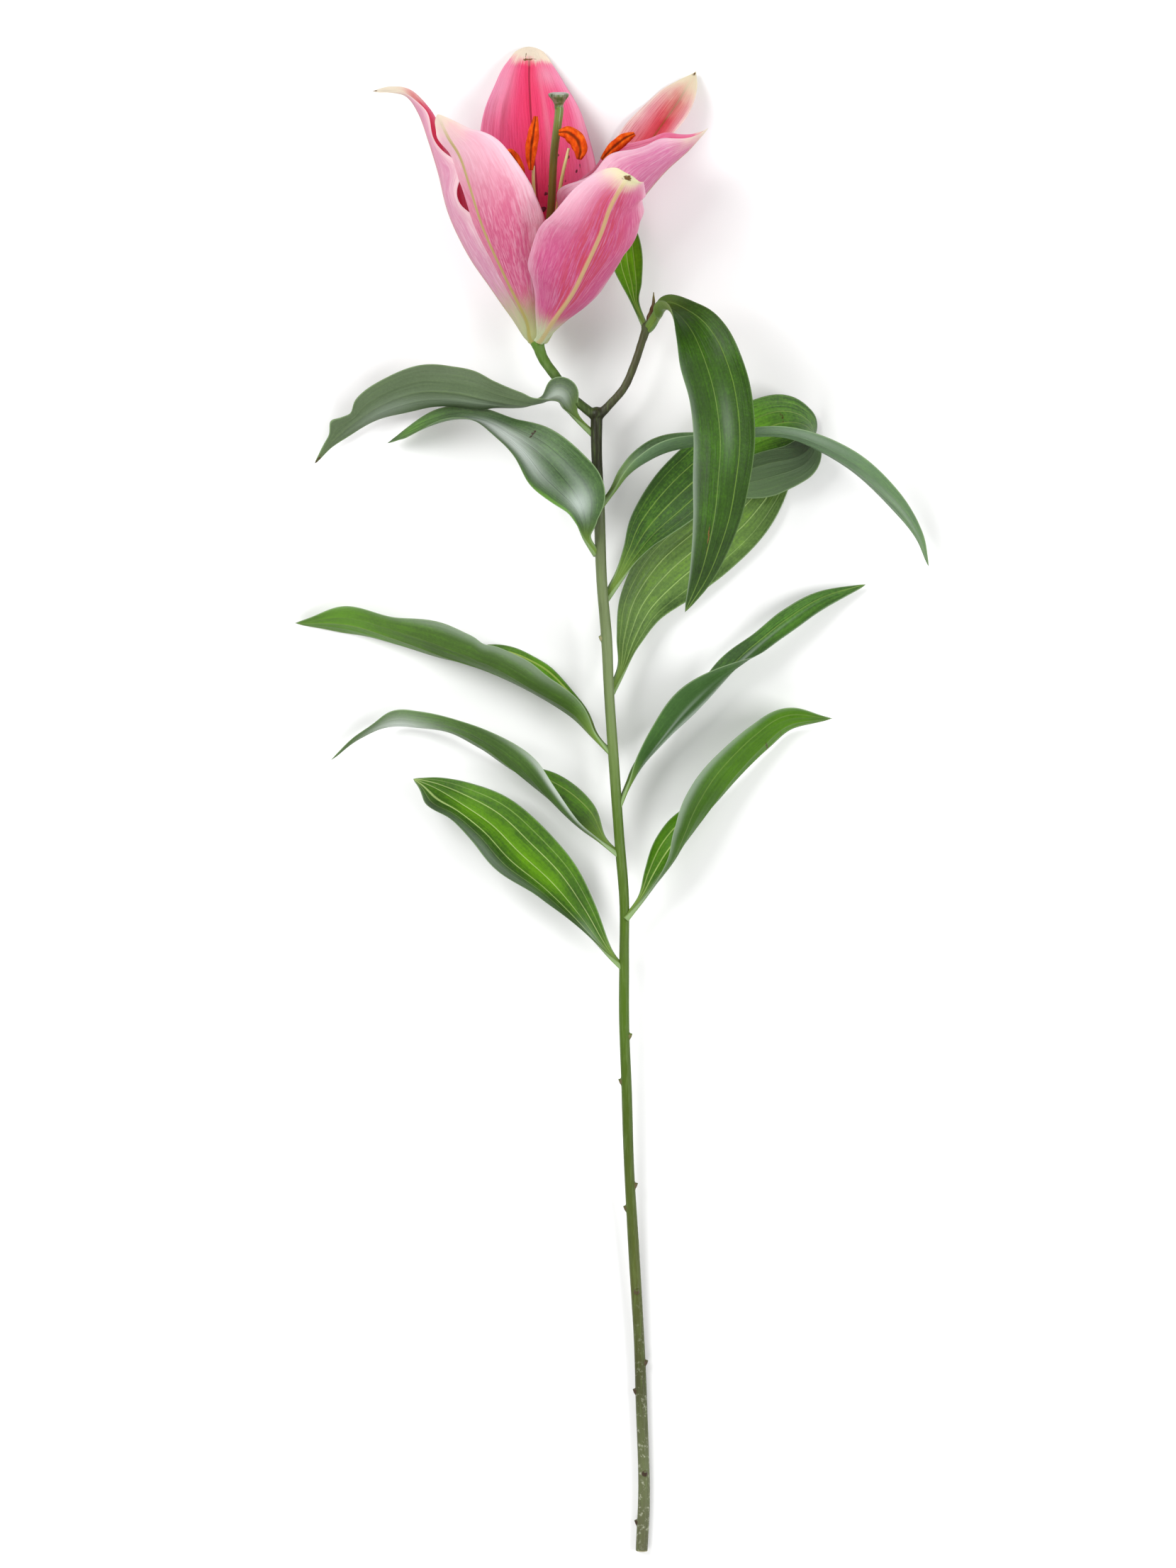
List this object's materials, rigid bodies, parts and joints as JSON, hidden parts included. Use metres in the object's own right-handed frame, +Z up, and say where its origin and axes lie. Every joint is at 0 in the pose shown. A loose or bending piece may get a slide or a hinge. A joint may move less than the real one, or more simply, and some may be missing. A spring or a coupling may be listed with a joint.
{
  "type": "cut lily",
  "caption": "Cut pink lily lying on a surface: a straight stem with lance-shaped leaves, an open flower of pink tepals with stamens and pistil, and a side branch with a dried bud.",
  "frame": {"origin": "on the surface the lily lies on, under the middle of its outline seen from above", "axes": "+Y runs along the stem from the cut end to the flower, +Z points up from the surface, +X is to the right when looking down with the flower at the top"},
  "size_m": [0.2549, 0.6043, 0.1018],
  "materials": {
    "stem": "smooth green plant stem, olive-brown near the top, pale scuffs near the cut",
    "leaf": "waxy dark green leaf with lengthwise pale veins",
    "petal": "satin petal, crimson to pink inside, pale mauve outside",
    "sepal": "satin sepal, pink with a yellow-green midrib",
    "pistil": "smooth olive green",
    "stigma": "sticky grey-green, three lobes",
    "filament": "smooth pale green thread",
    "pollen": "powdery orange-brown pollen",
    "dried_bud": "shrivelled brown bud"
  },
  "bodies": {
    "root": {"stem": "stem", "leaf_left_1": "leaf", "leaf_left_2": "leaf", "leaf_left_3": "leaf", "leaf_left_4": "leaf", "leaf_left_5": "leaf", "leaf_small": "leaf", "leaf_right_1": "leaf", "leaf_right_2": "leaf", "leaf_right_3": "leaf", "leaf_right_4": "leaf", "leaf_right_5": "leaf", "leaf_right_6": "leaf", "sepal_front": "sepal", "petal_right": "petal", "sepal_right": "sepal", "petal_back": "petal", "sepal_left": "sepal", "petal_left": "petal", "pistil": "pistil", "stigma": "stigma", "filament_1": "filament", "filament_2": "filament", "filament_3": "filament", "filament_4": "filament", "filament_5": "filament", "filament_6": "filament", "anther_1": "pollen", "anther_2": "pollen", "anther_3": "pollen", "anther_4": "pollen", "anther_5": "pollen", "anther_6": "pollen", "dried_bud": "dried_bud"}
  },
  "joints": []
}
